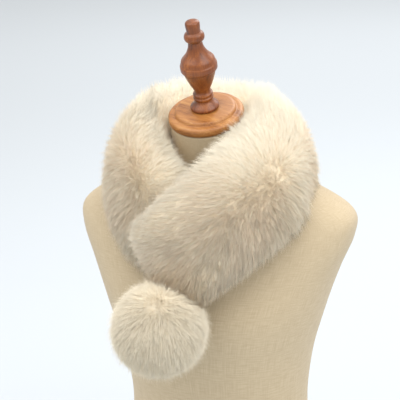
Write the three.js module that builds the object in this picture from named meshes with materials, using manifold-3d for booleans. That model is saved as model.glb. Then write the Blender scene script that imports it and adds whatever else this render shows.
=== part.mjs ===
// Fur collar wrap on a limbless dress form with a turned neck cap and finial.
// Millimetres, +Z up, the front faces -Y, the origin is the centre of the form's flat base.
import * as THREE from "three";
import { mergeVertices } from "three/addons/utils/BufferGeometryUtils.js";
import Module from "manifold-3d";

const wasm = await Module();
wasm.setup();

const SEAM_GAP = 0.3;
const SEAT_GAP = 0.35;

// The dress form.
const NECK_LEAN = 20;
const NECK_TOP = 650;
const NECK_TOP_Y = -31;
const FORM_POINTS = 40;
const FORM_RINGS = 30;

// Columns: z of the centre, y of the centre, half width, front depth, back depth, exponent, lean.
const FORM_SECTIONS = [
  [0, 6, 160, 106, 120, 2.3, 0],
  [18, 6, 168, 113, 128, 2.3, 0],
  [60, 6, 170, 115, 130, 2.2, 0],
  [140, 3, 152, 104, 110, 2.2, 0],
  [225, 0, 127, 95, 84, 2.2, 0],
  [315, 0, 132, 112, 80, 2.2, 0],
  [395, 0, 152, 126, 90, 2.3, 0],
  [450, 0, 170, 112, 94, 2.5, 0],
  [496, 0, 188, 92, 88, 2.6, 0],
  [527, -2, 187, 76, 80, 2.4, 3],
  [554, -5, 142, 66, 70, 2.2, 7],
  [576, -9, 86, 58, 62, 2.0, 12],
  [598, -14, 58, 52, 54, 2.0, 17],
  [625, -23, 50, 48, 48, 2.0, 20],
  [NECK_TOP, NECK_TOP_Y, 47.5, 47, 47, 2.0, 20],
];

// The neck cap and the finial, turned about the neck's axis. Columns: height, radius.
const CAP_PROFILE = [
  [0, 45],
  [1.5, 47.5],
  [5, 49],
  [9, 49],
  [11.5, 47.5],
  [12.5, 44.5],
  [12.6, 40.5],
  [14.5, 39.6],
  [16.5, 38],
  [17.2, 35],
];
const CAP_HEIGHT = CAP_PROFILE[CAP_PROFILE.length - 1][0];
const FINIAL_PROFILE = [
  [0, 17.2],
  [1.5, 18.6],
  [4, 18.4],
  [7, 15.4],
  [10, 12.2],
  [12.5, 11.2],
  [14, 12.6],
  [16.5, 13],
  [18, 11.8],
  [19.5, 12.6],
  [22, 12.6],
  [23.5, 10.6],
  [28, 10.8],
  [36, 14.6],
  [44, 17.8],
  [52, 20.4],
  [54, 20.8],
  [55.5, 22.6],
  [57, 23.4],
  [63, 23.4],
  [65, 22.2],
  [70, 21],
  [74, 17.6],
  [78, 14.2],
  [83, 11.4],
  [88, 9.6],
  [93, 9],
  [95, 9.4],
  [97, 12],
  [101, 12.9],
  [105, 11.6],
  [107, 9],
  [108.5, 8.6],
  [118, 9.2],
  [121, 7.6],
  [122, 4.5],
];
const TURNED_SIDES = 30;

// The collar band, from its hidden end under the front, round the back, to its end over the front.
// Columns: x, y, z, facing azimuth (0 is the front, 90 is +X), facing rise, half width,
// outer half thickness, inner half thickness.
const BAND = [
  [24, -118, 486, 10, 8, 46, 20, 18],
  [-6, -120, 511, 0, 12, 62, 24, 22],
  [-38, -111, 538, -20, 16, 72, 30, 26],
  [-74, -79, 568, -46, 20, 76, 38, 36],
  [-98, -28, 594, -78, 20, 79, 46, 42],
  [-93, 27, 604, -106, 18, 80, 47, 42],
  [-62, 66, 606, -142, 18, 80, 46, 40],
  [0, 84, 605, -180, 20, 78, 44, 40],
  [58, 67, 604, -218, 22, 78, 45, 40],
  [83, 22, 603, -256, 22, 77, 46, 40],
  [87, -31, 592, -284, 24, 75, 45, 40],
  [80, -85, 576, -314, 25, 74, 43, 38],
  [50, -130, 550, -336, 22, 71, 38, 34],
  [11, -152, 516, -352, 18, 71, 36, 32],
  [-33, -149, 474, -368, 12, 72, 34, 30],
];
// The rows of the band where one stretch is joined to the next.
const UNDER_SEAM = 5;
const OVER_SEAM = 9;
const STRETCH_POINTS = 28;
const STATION_STEP = 8;
const BAND_EXPONENT = 2.2;
const END_ROUND = 40;
const END_BLUNT = 3;
const TIP = 0.6;
const BAND_STEPS = 400;
const TANGENT_STEP = 0.002;
// The locks of the fur are waves over its mean surface.
// Columns: height, length along the band, bend, bends round the section, locks round it, phase.
const LOCK_WAVES = [
  [2.1, 31, 1.9, 3, 4, 0],
  [1.5, 51, 2.1, 2, 3, 1.2],
  [0.8, 23, 1.1, 4, 6, 2.5],
];
// The inner side is where the section's sine is below this. It rests on the form, so its locks are low.
const INNER_SIDE = -0.3;
const INNER_LOCKS = 0.2;

// The pompom: a core ball and locks, from roots a depth inside it to tips at a reach.
const POMPOM = {
  x: -16,
  y: -183,
  z: 419,
  core: 54,
  reach: 62.5,
  shorter: 0.07,
  pressed: 60,
  locks: 210,
  root: 6.8,
  depth: 2,
  sway: 2.6,
  droop: 2,
};

const rad = (degrees) => (degrees * Math.PI) / 180;
const clamp = (v, low, high) => Math.min(Math.max(v, low), high);

// Every column of a table at a fraction t of its rows, smooth through each row.
function tableAt(rows, t) {
  const last = rows.length - 1;
  const place = clamp(t, 0, 1) * last;
  const i = Math.min(Math.floor(place), last - 1);
  const f = place - i;
  const row = (k) => rows[clamp(k, 0, last)];
  return rows[0].map((_, c) => {
    const [a, b, d, e] = [row(i - 1)[c], row(i)[c], row(i + 1)[c], row(i + 2)[c]];
    const bend = 2 * a - 5 * b + 4 * d - e + f * (3 * (b - d) + e - a);
    return b + 0.5 * f * (d - a + f * bend);
  });
}

// One closed surface through rings of equal point count, each end closed by a fan.
function loft(rings) {
  const n = rings[0].length;
  const points = rings.flat();
  const faces = [];
  for (let r = 0; r + 1 < rings.length; r++) {
    for (let k = 0; k < n; k++) {
      const a = r * n + k;
      const b = r * n + ((k + 1) % n);
      faces.push([a, b, b + n], [a, b + n, a + n]);
    }
  }
  for (const [ring, turned] of [[0, true], [rings.length - 1, false]]) {
    const middle = new THREE.Vector3();
    rings[ring].forEach((p) => middle.addScaledVector(p, 1 / n));
    const hub = points.push(middle) - 1;
    for (let k = 0; k < n; k++) {
      const a = ring * n + k;
      const b = ring * n + ((k + 1) % n);
      faces.push(turned ? [b, a, hub] : [a, b, hub]);
    }
  }
  const made = new THREE.BufferGeometry();
  made.setAttribute("position", new THREE.Float32BufferAttribute(points.flatMap((p) => p.toArray()), 3));
  made.setIndex(faces.flat());
  return made;
}

// The same closed surface with each vertex moved out along its normal.
function grown(geometry, by) {
  const g = mergeVertices(bare(geometry), 1e-3);
  g.computeVertexNormals();
  const p = g.attributes.position;
  const n = g.attributes.normal;
  for (let i = 0; i < p.count; i++) {
    p.setXYZ(i, p.getX(i) + by * n.getX(i), p.getY(i) + by * n.getY(i), p.getZ(i) + by * n.getZ(i));
  }
  return bare(g);
}

function bare(geometry) {
  const g = geometry.clone();
  g.deleteAttribute("normal");
  g.deleteAttribute("uv");
  return g;
}

function toSolid(geometry) {
  const g = mergeVertices(bare(geometry), 1e-3);
  const triVerts = new Uint32Array(g.index.array);
  return new wasm.Manifold(new wasm.Mesh({ numProp: 3, vertProperties: g.attributes.position.array, triVerts }));
}

function fromSolid(solid) {
  const m = solid.getMesh();
  const points = new Float32Array(m.numVert * 3);
  for (let i = 0; i < m.numVert; i++) {
    points.set(m.vertProperties.subarray(i * m.numProp, i * m.numProp + 3), i * 3);
  }
  const g = new THREE.BufferGeometry();
  g.setAttribute("position", new THREE.BufferAttribute(points, 3));
  g.setIndex(new THREE.BufferAttribute(m.triVerts, 1));
  return g;
}

// The largest body of a cut, so that no loose crumb stays with it.
function largest(solid) {
  return solid.decompose().reduce((a, b) => (b.volume() > a.volume() ? b : a));
}

function superellipse(angle, exponent) {
  const c = Math.cos(angle);
  const s = Math.sin(angle);
  return [
    Math.sign(c) * Math.abs(c) ** (2 / exponent),
    Math.sign(s) * Math.abs(s) ** (2 / exponent),
  ];
}

// The form: torso and neck, superellipse sections that lean forward with the neck.
function formGeometry() {
  const rings = [];
  for (let r = 0; r <= FORM_RINGS; r++) {
    const [z, y, half, front, back, exponent, lean] = tableAt(FORM_SECTIONS, r / FORM_RINGS);
    const tilt = rad(lean);
    rings.push(
      Array.from({ length: FORM_POINTS }, (_, k) => {
        const [c, s] = superellipse((2 * Math.PI * k) / FORM_POINTS, exponent);
        const depth = s * (s < 0 ? front : back);
        return new THREE.Vector3(half * c, y + depth * Math.cos(tilt), z + depth * Math.sin(tilt));
      }),
    );
  }
  return loft(rings);
}

// A body turned about the neck's leaning axis, from a height above the neck's top.
function turned(profile, lift) {
  const tilt = rad(NECK_LEAN);
  const side = new THREE.Vector3(0, Math.cos(tilt), Math.sin(tilt));
  const axis = new THREE.Vector3(0, -Math.sin(tilt), Math.cos(tilt));
  const foot = new THREE.Vector3(0, NECK_TOP_Y, NECK_TOP);
  const rings = profile.map(([height, radius]) =>
    Array.from({ length: TURNED_SIDES }, (_, k) => {
      const a = (2 * Math.PI * k) / TURNED_SIDES;
      return foot
        .clone()
        .addScaledVector(axis, lift + height)
        .addScaledVector(side, radius * Math.sin(a))
        .add(new THREE.Vector3(radius * Math.cos(a), 0, 0));
    }),
  );
  return loft(rings);
}

// Height of the fur's locks over its mean surface, along the band and round its section.
function lockHeight(along, angle) {
  return LOCK_WAVES.reduce((sum, [height, length, bend, bends, locks, phase]) => {
    const place = (2 * Math.PI * along) / length + bend * Math.sin(bends * angle);
    return sum + height * Math.sin(place) * Math.cos(locks * angle + phase);
  }, 0);
}

// Length along the band's centre line at even steps of its table, and the way back from a length.
const bandPoint = (t) => new THREE.Vector3(...tableAt(BAND, t).slice(0, 3));
const bandLengths = [0];
for (let i = 1; i <= BAND_STEPS; i++) {
  const step = bandPoint(i / BAND_STEPS).distanceTo(bandPoint((i - 1) / BAND_STEPS));
  bandLengths.push(bandLengths[i - 1] + step);
}
const BAND_LENGTH = bandLengths[BAND_STEPS];
const lengthAtRow = (row) => {
  const place = (row / (BAND.length - 1)) * BAND_STEPS;
  const i = Math.min(Math.floor(place), BAND_STEPS - 1);
  return bandLengths[i] + (place - i) * (bandLengths[i + 1] - bandLengths[i]);
};
function tableFraction(length) {
  const i = clamp(
    bandLengths.findIndex((v) => v >= length),
    1,
    BAND_STEPS,
  );
  const share = (length - bandLengths[i - 1]) / (bandLengths[i] - bandLengths[i - 1]);
  return (i - 1 + share) / BAND_STEPS;
}

// Size of the section near a free end, from nothing at the tip to whole.
function endSize(distance) {
  return distance < END_ROUND ? (1 - (1 - distance / END_ROUND) ** END_BLUNT) ** (1 / END_BLUNT) : 1;
}

// One ring of the band's surface at a length from its hidden end.
function bandRing(length) {
  const t = tableFraction(length);
  const [x, y, z, azimuth, rise, half, outer, inner] = tableAt(BAND, t);
  const ahead = bandPoint(Math.min(t + TANGENT_STEP, 1));
  const tangent = ahead.sub(bandPoint(Math.max(t - TANGENT_STEP, 0))).normalize();
  const face = new THREE.Vector3(
    Math.sin(rad(azimuth)) * Math.cos(rad(rise)),
    -Math.cos(rad(azimuth)) * Math.cos(rad(rise)),
    Math.sin(rad(rise)),
  );
  face.addScaledVector(tangent, -face.dot(tangent)).normalize();
  const across = new THREE.Vector3().crossVectors(face, tangent);
  const size = Math.min(endSize(length), endSize(BAND_LENGTH - length));
  return Array.from({ length: STRETCH_POINTS }, (_, k) => {
    const angle = (2 * Math.PI * k) / STRETCH_POINTS;
    const [c, s] = superellipse(angle, BAND_EXPONENT);
    const lift = lockHeight(length, angle) * (s < INNER_SIDE ? INNER_LOCKS : 1);
    const reach = size * (1 + lift / Math.hypot(half * c, outer * s));
    return new THREE.Vector3(x, y, z)
      .addScaledVector(across, half * c * reach)
      .addScaledVector(face, (s < 0 ? inner : outer) * s * reach);
  });
}

// One stretch of the band between two lengths.
function stretchGeometry(from, to) {
  const steps = Math.round((to - from) / STATION_STEP);
  return loft(Array.from({ length: steps + 1 }, (_, i) => bandRing(from + ((to - from) * i) / steps)));
}

function ball(radius, detail) {
  return toSolid(new THREE.IcosahedronGeometry(radius, detail).translate(POMPOM.x, POMPOM.y, POMPOM.z));
}

// The pompom: a round core and tapered three-sided locks spread evenly over it.
function pompomSolid() {
  const centre = new THREE.Vector3(POMPOM.x, POMPOM.y, POMPOM.z);
  const golden = Math.PI * (3 - Math.sqrt(5));
  const locks = [];
  for (let i = 0; i < POMPOM.locks; i++) {
    const z = 1 - (2 * (i + 0.5)) / POMPOM.locks;
    const flat = Math.sqrt(1 - z * z);
    const out = new THREE.Vector3(flat * Math.cos(golden * i), flat * Math.sin(golden * i), z);
    const first = new THREE.Vector3(0.3, 0.5, 0.81).cross(out).normalize();
    const second = new THREE.Vector3().crossVectors(out, first);
    // The sines of the lock's number, at two uneven turns a lock, stand in for chance.
    const reach = POMPOM.reach * (1 - POMPOM.shorter * (0.5 + 0.5 * Math.sin(2.4 * i)));
    const lean = out.clone().multiplyScalar(reach).addScaledVector(first, POMPOM.sway * Math.sin(1.7 * i));
    lean.z -= POMPOM.droop;
    const tip = lean.setLength(reach).add(centre);
    const roots = [0, 1, 2].map((k) => {
      const a = i + (2 * Math.PI * k) / 3;
      return centre
        .clone()
        .addScaledVector(out, POMPOM.core - POMPOM.depth)
        .addScaledVector(first, POMPOM.root * Math.cos(a))
        .addScaledVector(second, POMPOM.root * Math.sin(a));
    });
    const lock = new THREE.BufferGeometry();
    lock.setAttribute(
      "position",
      new THREE.Float32BufferAttribute([...roots, tip].flatMap((p) => p.toArray()), 3),
    );
    lock.setIndex([0, 1, 3, 1, 2, 3, 2, 0, 3, 0, 2, 1]);
    locks.push(toSolid(lock));
  }
  return wasm.Manifold.union([ball(POMPOM.core, 6), ...locks]);
}

const form = formGeometry();
const underEnd = lengthAtRow(UNDER_SEAM);
const overStart = lengthAtRow(OVER_SEAM);
const under = stretchGeometry(TIP, underEnd - SEAM_GAP / 2);
const back = stretchGeometry(underEnd + SEAM_GAP / 2, overStart - SEAM_GAP / 2);
const over = stretchGeometry(overStart + SEAM_GAP / 2, BAND_LENGTH - TIP);
const cap = turned(CAP_PROFILE, SEAM_GAP);
const finial = turned(FINIAL_PROFILE, SEAM_GAP + CAP_HEIGHT + SEAM_GAP);

const formCutter = toSolid(grown(form, SEAT_GAP));
const capCutter = toSolid(grown(cap, SEAT_GAP));
const underSolid = largest(toSolid(under).subtract(formCutter).subtract(capCutter));
const backSolid = largest(toSolid(back).subtract(formCutter).subtract(capCutter));
const underCutter = toSolid(grown(under, SEAT_GAP));
// The pompom and the end it hangs at press together on a ball, a seat gap apart.
const pompomRoom = ball(POMPOM.pressed + SEAT_GAP, 7);
const overSolid = largest(
  toSolid(over).subtract(formCutter).subtract(capCutter).subtract(underCutter).subtract(pompomRoom),
);
const pressing = toSolid(grown(over, SEAT_GAP)).subtract(ball(POMPOM.pressed, 7));
const pompomCut = largest(pompomSolid().subtract(formCutter).subtract(pressing));

const FUR = { color: 0xefe4cc, roughness: 1 };
const PIECES = [
  ["form_torso", form, { color: 0xcfc4a8, roughness: 0.95 }],
  ["neck_cap", cap, { color: 0xd59a5e, roughness: 0.45 }],
  ["finial", finial, { color: 0xa8623a, roughness: 0.4 }],
  ["collar_under", fromSolid(underSolid), FUR],
  ["collar_back", fromSolid(backSolid), FUR],
  ["collar_over", fromSolid(overSolid), FUR],
  ["pompom", fromSolid(pompomCut), { color: 0xf6efdf, roughness: 1 }],
];

const group = new THREE.Group();
for (const [name, geometry, look] of PIECES) {
  const mesh = new THREE.Mesh(geometry, new THREE.MeshStandardMaterial(look));
  mesh.name = name;
  group.add(mesh);
}

export default group;
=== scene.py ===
"""Fur collar wrap on a limbless dress form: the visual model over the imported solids, in metres."""

import logging
import math
from collections.abc import Callable
from dataclasses import dataclass, field, fields
from enum import Enum

import bpy
import numpy as np
from mathutils import Matrix, Vector
from numpy.typing import NDArray

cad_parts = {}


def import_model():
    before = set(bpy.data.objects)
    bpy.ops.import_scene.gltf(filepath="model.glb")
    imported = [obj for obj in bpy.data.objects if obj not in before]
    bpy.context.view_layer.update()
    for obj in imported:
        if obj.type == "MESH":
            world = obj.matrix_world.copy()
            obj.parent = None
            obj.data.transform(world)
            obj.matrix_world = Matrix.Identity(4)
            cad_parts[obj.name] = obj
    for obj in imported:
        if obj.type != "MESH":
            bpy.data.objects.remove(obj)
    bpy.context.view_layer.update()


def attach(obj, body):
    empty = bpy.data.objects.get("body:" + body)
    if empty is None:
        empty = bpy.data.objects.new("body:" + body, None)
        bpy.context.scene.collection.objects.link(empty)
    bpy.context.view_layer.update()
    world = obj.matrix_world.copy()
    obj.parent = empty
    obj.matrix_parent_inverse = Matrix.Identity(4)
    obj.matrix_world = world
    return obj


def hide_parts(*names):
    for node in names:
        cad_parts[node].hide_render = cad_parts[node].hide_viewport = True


Array = NDArray[np.float64]
Mask = NDArray[np.bool_]
Test = Callable[[Array], Mask]
Colour = tuple[float, float, float]
Range = tuple[float, float]

LOG = logging.getLogger("fur_collar")
MM = 0.001
BODY = "root"
BAKE_MAP = "OFBake"
MAP_MARGIN = 0.02
IMAGE_SIDE = 400
DOWN = np.array([0.0, 0.0, -1.0])


# Number helpers


def smooth_rows(rows: Array, fractions: Array) -> Array:
    """A table's columns at fractions of its length, smooth through each row.

    Each stretch between two rows is the cubic whose slopes at its ends are half the step between
    the rows on either side, the first and last rows standing for those past the table.

    Args:
        rows: One table row per line.
        fractions: Places in the table, from 0 at its first row to 1 at its last.

    Returns:
        One row of values for each fraction.
    """
    last = len(rows) - 1
    place = np.clip(fractions, 0.0, 1.0) * last
    index = np.minimum(place.astype(int), last - 1)
    share = (place - index)[:, None]
    before = rows[np.maximum(index - 1, 0)]
    start = rows[index]
    end = rows[index + 1]
    after = rows[np.minimum(index + 2, last)]
    bend = 2 * before - 5 * start + 4 * end - after + share * (3 * (start - end) + after - before)
    return start + 0.5 * share * (end - before + share * bend)


def unit(vectors: Array) -> Array:
    """The vectors at length one."""
    return vectors / np.maximum(np.linalg.norm(vectors, axis=-1, keepdims=True), 1e-12)


def dot(first: Array, second: Array) -> Array:
    """The scalar product of each pair of vectors."""
    return np.einsum("...i,...i->...", first, second)


def share_between(values: Array, start: float, end: float) -> Array:
    """0 below the start, 1 past the end, and straight between them."""
    return np.clip((values - start) / (end - start), 0, 1)


def superellipse(angle: Array, exponent: Array | float) -> tuple[Array, Array]:
    """The cosine and sine of an angle, each raised to two over the exponent with its sign kept."""
    cosine, sine = np.cos(angle), np.sin(angle)
    power = 2.0 / exponent
    return np.sign(cosine) * np.abs(cosine) ** power, np.sign(sine) * np.abs(sine) ** power


def ripple(along: Array, turn: Array, rng: np.random.Generator, waves: int = 5) -> Array:
    """Smooth irregular values near -1 to 1: a sum of plane waves of random pitch and phase.

    Args:
        along: A length in units of the pattern's size.
        turn: An angle round the piece, so that each wave fits a whole number of times.
        rng: Source of the waves' pitches and phases.
        waves: How many waves are added.

    Returns:
        The sum, divided by the square root of half the number of waves.
    """
    total = np.zeros(np.broadcast(along, turn).shape)
    for _ in range(waves):
        pitch, phase = rng.uniform(0.6, 2.2), rng.uniform(0.0, 2 * np.pi)
        total += np.sin(pitch * along + rng.integers(-5, 6) * turn + phase)
    return total / math.sqrt(waves / 2)


def drawn_in(points: Array, centres: Array, blocked: Test) -> Array:
    """The points, blocked ones moved straight to their centres until they are free.

    Args:
        points: The points.
        centres: A free point for each, or for each of their last axis but one.
        blocked: Says which points are inside something else.

    Returns:
        The points, found to a two-hundredth of the way by halving.
    """
    caught = blocked(points)
    free, shut = np.zeros(caught.shape), np.ones(caught.shape)
    for _ in range(8):
        middle = (free + shut) / 2
        hit = blocked(centres + (points - centres) * middle[..., None])
        free, shut = np.where(hit, free, middle), np.where(hit, middle, shut)
    return np.where(caught[..., None], centres + (points - centres) * free[..., None], points)


# Meshes


def mesh_object(name: str, points: Array, quads: Array, triangles: Array) -> bpy.types.Object:
    """A smooth-shaded mesh object at the origin.

    Args:
        name: The piece's name.
        points: Its vertices.
        quads: Vertex numbers, four to a row.
        triangles: Vertex numbers, three to a row.

    Returns:
        The object, linked to the scene.
    """
    mesh = bpy.data.meshes.new(name)
    mesh.vertices.add(len(points))
    mesh.vertices.foreach_set("co", np.ascontiguousarray(points, dtype=np.float32).ravel())
    mesh.loops.add(quads.size + triangles.size)
    corners = np.concatenate([quads.ravel(), triangles.ravel()]).astype(np.int32)
    mesh.loops.foreach_set("vertex_index", corners)
    mesh.polygons.add(len(quads) + len(triangles))
    starts = np.concatenate([4 * np.arange(len(quads)), quads.size + 3 * np.arange(len(triangles))])
    mesh.polygons.foreach_set("loop_start", starts.astype(np.int32))
    mesh.polygons.foreach_set("use_smooth", np.ones(len(starts), dtype=bool))
    mesh.update(calc_edges=True)
    made = bpy.data.objects.new(name, mesh)
    bpy.context.scene.collection.objects.link(made)
    return made


def loft_object(name: str, rings: Array, uv_size: tuple[float, float] | None = None) -> bpy.types.Object:
    """A closed surface through rings of points, each end closed by a fan to its middle.

    Args:
        name: The piece's name.
        rings: Points by ring and by place round it.
        uv_size: Lengths round and along that the "Weave" map spreads over, if it is wanted.

    Returns:
        The object.
    """
    count, around, _ = rings.shape
    ring, place = np.meshgrid(np.arange(count - 1), np.arange(around), indexing="ij")
    low = ring * around + place
    low_next = ring * around + (place + 1) % around
    quads = np.stack([low, low_next, low_next + around, low + around], axis=-1).reshape(-1, 4)
    round_trip = np.arange(around)
    following = (round_trip + 1) % around
    hubs = count * around
    last = (count - 1) * around
    first_fan = np.stack([following, round_trip, np.full(around, hubs)], axis=-1)
    last_fan = np.stack([last + round_trip, last + following, np.full(around, hubs + 1)], axis=-1)
    points = np.concatenate([rings.reshape(-1, 3), rings[[0, -1]].mean(axis=1)])
    made = mesh_object(name, points, quads, np.concatenate([first_fan, last_fan]))
    if uv_size is not None:
        steps = np.array([[0, 0], [1, 0], [1, 1], [0, 1]])
        grid = np.stack([place.ravel(), ring.ravel()], axis=-1)[:, None, :] + steps[None]
        share = grid / np.array([around, count - 1])
        flat = np.concatenate([(share * np.array(uv_size)).reshape(-1, 2), np.zeros((6 * around, 2))])
        layer = made.data.uv_layers.new(name="Weave")
        layer.data.foreach_set("uv", flat.astype(np.float32).ravel())
    return made


# Shader helpers


def new_material(name: str) -> tuple[bpy.types.Material, bpy.types.NodeTree]:
    """A material with an empty node tree."""
    material = bpy.data.materials.new(name)
    material.use_nodes = True
    material.node_tree.nodes.clear()
    return material, material.node_tree


def add_node(tree: bpy.types.NodeTree, kind: str, **values: object) -> bpy.types.Node:
    """A node of the kind, with attributes or input sockets set by name.

    Args:
        tree: The node tree it goes into.
        kind: Blender's name of the node's type.
        **values: Attributes, or inputs with spaces written as underscores.

    Returns:
        The node.
    """
    made = tree.nodes.new(kind)
    for key, value in values.items():
        socket = key.replace("_", " ")
        if socket in made.inputs:
            made.inputs[socket].default_value = value
        else:
            setattr(made, key, value)
    return made


def link(tree: bpy.types.NodeTree, *ways: tuple[bpy.types.Node, str, bpy.types.Node, str | int]) -> None:
    """Links nodes, each way being a node, its output, the next node and its input."""
    for start, output, end, entry in ways:
        tree.links.new(start.outputs[output], end.inputs[entry])


def set_surface(tree: bpy.types.NodeTree, body: bpy.types.Node) -> None:
    """Makes the shader the material's surface."""
    link(tree, (body, "BSDF", tree.nodes.new("ShaderNodeOutputMaterial"), "Surface"))


def colour_ramp(tree: bpy.types.NodeTree, stops: list[tuple[float, Colour]]) -> bpy.types.Node:
    """A colour ramp through the stops, eased between them."""
    ramp = tree.nodes.new("ShaderNodeValToRGB")
    ramp.color_ramp.interpolation = "EASE"
    elements = ramp.color_ramp.elements
    while len(elements) < len(stops):
        elements.new(0.5)
    for element, (place, colour) in zip(elements, stops):
        element.position = place
        element.color = (*colour, 1.0)
    return ramp


class Effect(Enum):
    """The shader node groups that several finishes share."""

    WOOD_GRAIN = "wood_grain"
    HAIR_TINT = "hair_tint"


def effect_group(effect: Effect) -> bpy.types.NodeTree:
    """The effect's node group, built the first time that it is asked for."""
    known = bpy.data.node_groups.get(effect.value)
    if known is not None:
        return known
    group = bpy.data.node_groups.new(effect.value, "ShaderNodeTree")
    builders = {Effect.WOOD_GRAIN: build_wood_grain, Effect.HAIR_TINT: build_hair_tint}
    builders[effect](group)
    return group


def group_socket(group: bpy.types.NodeTree, name: str, way: str, kind: str) -> None:
    """Adds one socket to a node group."""
    group.interface.new_socket(name=name, in_out=way, socket_type=kind)


def build_wood_grain(group: bpy.types.NodeTree) -> None:
    """Wood grain: long streaks along local Z and fine pores, as a mask and as a height.

    Args:
        group: The empty group, which takes a Vector in metres and puts out Streaks and Height.
    """
    group_socket(group, "Vector", "INPUT", "NodeSocketVector")
    group_socket(group, "Streaks", "OUTPUT", "NodeSocketFloat")
    group_socket(group, "Height", "OUTPUT", "NodeSocketFloat")
    entry = group.nodes.new("NodeGroupInput")
    leave = group.nodes.new("NodeGroupOutput")
    stretch = add_node(group, "ShaderNodeMapping", Scale=(60.0, 60.0, 7.0))
    bands = add_node(group, "ShaderNodeTexNoise", Scale=1.0, Detail=4.0, Roughness=0.6, Distortion=0.6)
    fine = add_node(group, "ShaderNodeMapping", Scale=(600.0, 600.0, 40.0))
    pores = add_node(group, "ShaderNodeTexNoise", Scale=1.0, Detail=3.0, Roughness=0.7)
    join = add_node(group, "ShaderNodeMix", data_type="FLOAT")
    join.inputs["Factor"].default_value = 0.35
    link(group,
         (entry, "Vector", stretch, "Vector"),
         (entry, "Vector", fine, "Vector"),
         (stretch, "Vector", bands, "Vector"),
         (fine, "Vector", pores, "Vector"),
         (bands, "Fac", join, "A"),
         (pores, "Fac", join, "B"),
         (join, "Result", leave, "Streaks"),
         (pores, "Fac", leave, "Height"))


def build_hair_tint(group: bpy.types.NodeTree) -> None:
    """Hair colour from the hair's own map: root to tip up the map, the darker root partly painted shade, and
    warm to pale across it.

    Args:
        group: The empty group, which takes Root, Middle, Tip and Warm colours and puts out Color.
    """
    for name in ("Root", "Middle", "Tip", "Warm"):
        group_socket(group, name, "INPUT", "NodeSocketColor")
    group_socket(group, "Color", "OUTPUT", "NodeSocketColor")
    entry = group.nodes.new("NodeGroupInput")
    leave = group.nodes.new("NodeGroupOutput")
    place = add_node(group, "ShaderNodeUVMap", uv_map=BAKE_MAP)
    split = group.nodes.new("ShaderNodeSeparateXYZ")
    link(group, (place, "UV", split, "Vector"))

    def ranged(source: bpy.types.NodeSocket, low: float, high: float) -> bpy.types.NodeSocket:
        """The source's stretch from low to high, as 0 to 1."""
        made = add_node(group, "ShaderNodeMapRange", From_Min=low, From_Max=high)
        group.links.new(source, made.inputs["Value"])
        return made.outputs["Result"]

    def blended(share: bpy.types.NodeSocket, first: bpy.types.NodeSocket,
                second: bpy.types.NodeSocket) -> bpy.types.NodeSocket:
        """A mix of two colours."""
        made = add_node(group, "ShaderNodeMix", data_type="RGBA")
        group.links.new(share, made.inputs["Factor"])
        group.links.new(first, made.inputs[6])
        group.links.new(second, made.inputs[7])
        return made.outputs[2]

    lower = blended(ranged(split.outputs["Y"], 0.1, 0.55), entry.outputs["Root"], entry.outputs["Middle"])
    whole = blended(ranged(split.outputs["Y"], 0.5, 0.98), lower, entry.outputs["Tip"])
    warmth = ranged(split.outputs["X"], 0.75, 0.05)
    tinted = blended(warmth, whole, entry.outputs["Warm"])
    group.links.new(tinted, leave.inputs["Color"])


# Finishes


@dataclass(frozen=True)
class HairFinish:
    """Soft pale hair, deeper in colour towards its root, partly its own colour and partly painted shade deep
    in the coat.
    """

    name: str
    root: Colour
    middle: Colour
    tip: Colour
    warm: Colour
    roughness: float = 0.8
    sheen: float = 0.12

    def material(self) -> bpy.types.Material:
        """The finish as a material."""
        material, tree = new_material(self.name)
        tint = tree.nodes.new("ShaderNodeGroup")
        tint.node_tree = effect_group(Effect.HAIR_TINT)
        for part in ("root", "middle", "tip", "warm"):
            tint.inputs[part.capitalize()].default_value = (*getattr(self, part), 1.0)
        body = add_node(tree, "ShaderNodeBsdfPrincipled",
                        Roughness=self.roughness, Specular_IOR_Level=0.12,
                        Sheen_Weight=self.sheen, Sheen_Roughness=0.5)
        link(tree, (tint, "Color", body, "Base Color"))
        set_surface(tree, body)
        return material


@dataclass(frozen=True)
class UnderfurFinish:
    """Dense matt underfur, mottled and fluffy."""

    name: str
    dark: Colour
    pale: Colour

    def material(self) -> bpy.types.Material:
        """The finish as a material."""
        material, tree = new_material(self.name)
        place = tree.nodes.new("ShaderNodeTexCoord")
        mottle = add_node(tree, "ShaderNodeTexNoise", Scale=160.0, Detail=5.0, Roughness=0.65)
        ramp = colour_ramp(tree, [(0.3, self.dark), (0.7, self.pale)])
        fluff = add_node(tree, "ShaderNodeTexNoise", Scale=700.0, Detail=3.0, Roughness=0.7)
        raised = add_node(tree, "ShaderNodeBump", Strength=0.8, Distance=0.001)
        body = add_node(tree, "ShaderNodeBsdfPrincipled",
                        Roughness=0.95, Specular_IOR_Level=0.1, Sheen_Weight=0.4)
        link(tree,
             (place, "Object", mottle, "Vector"),
             (place, "Object", fluff, "Vector"),
             (mottle, "Fac", ramp, "Fac"),
             (ramp, "Color", body, "Base Color"),
             (fluff, "Fac", raised, "Height"),
             (raised, "Normal", body, "Normal"))
        set_surface(tree, body)
        return material


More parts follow.
